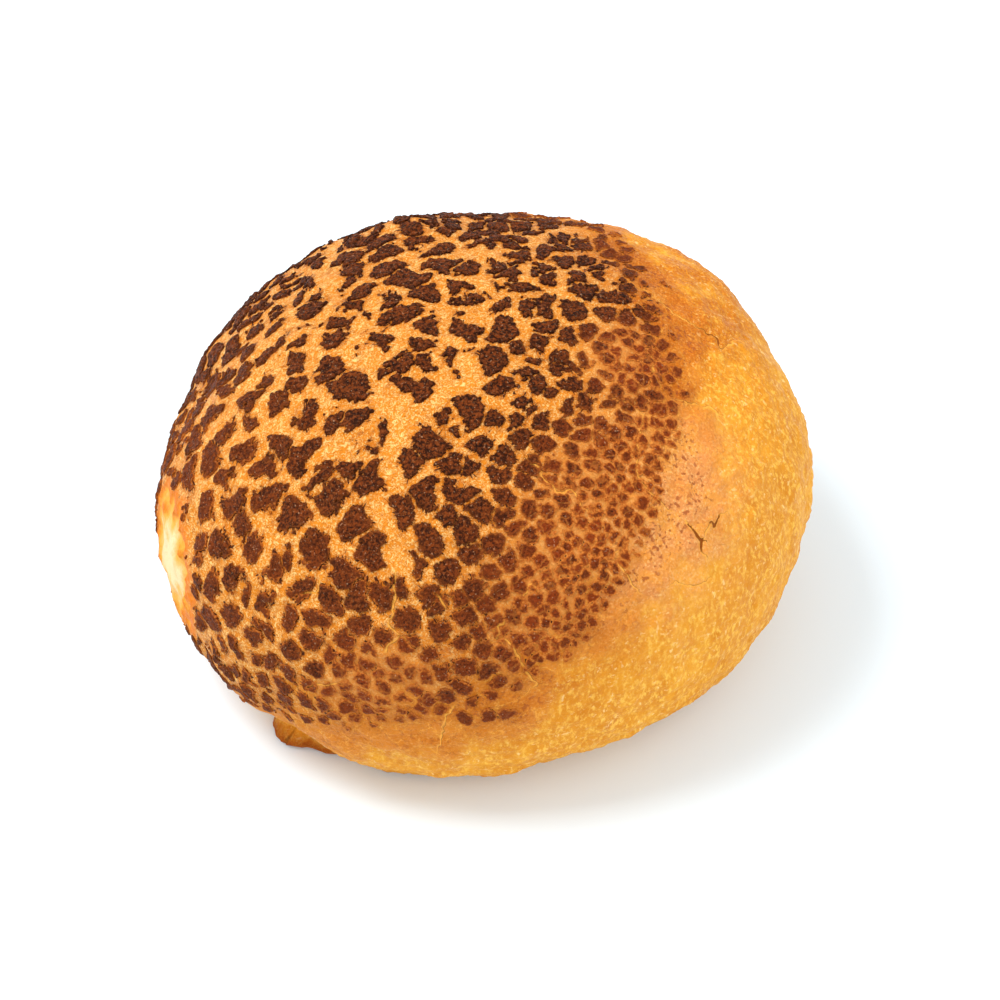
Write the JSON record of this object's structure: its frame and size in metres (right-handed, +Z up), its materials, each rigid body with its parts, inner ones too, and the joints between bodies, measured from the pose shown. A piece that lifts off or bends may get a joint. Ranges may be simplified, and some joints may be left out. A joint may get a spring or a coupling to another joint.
{
  "type": "tiger bread roll",
  "caption": "Round domed bread roll, golden below and at one side, with a crackled crust of dark brown flakes over its top and left side.",
  "frame": {"origin": "on the resting face, under the middle of the roll's box", "axes": "+Z up from the resting face, +X towards the bare golden side, along the roll's widest reach; -Y towards the viewer of the picture"},
  "size_m": [0.1074, 0.1047, 0.0645],
  "materials": {
    "crust": "dry baked crust, matte with a faint sheen on the bare golden side"
  },
  "bodies": {
    "root": {"roll": "crust"}
  },
  "joints": []
}
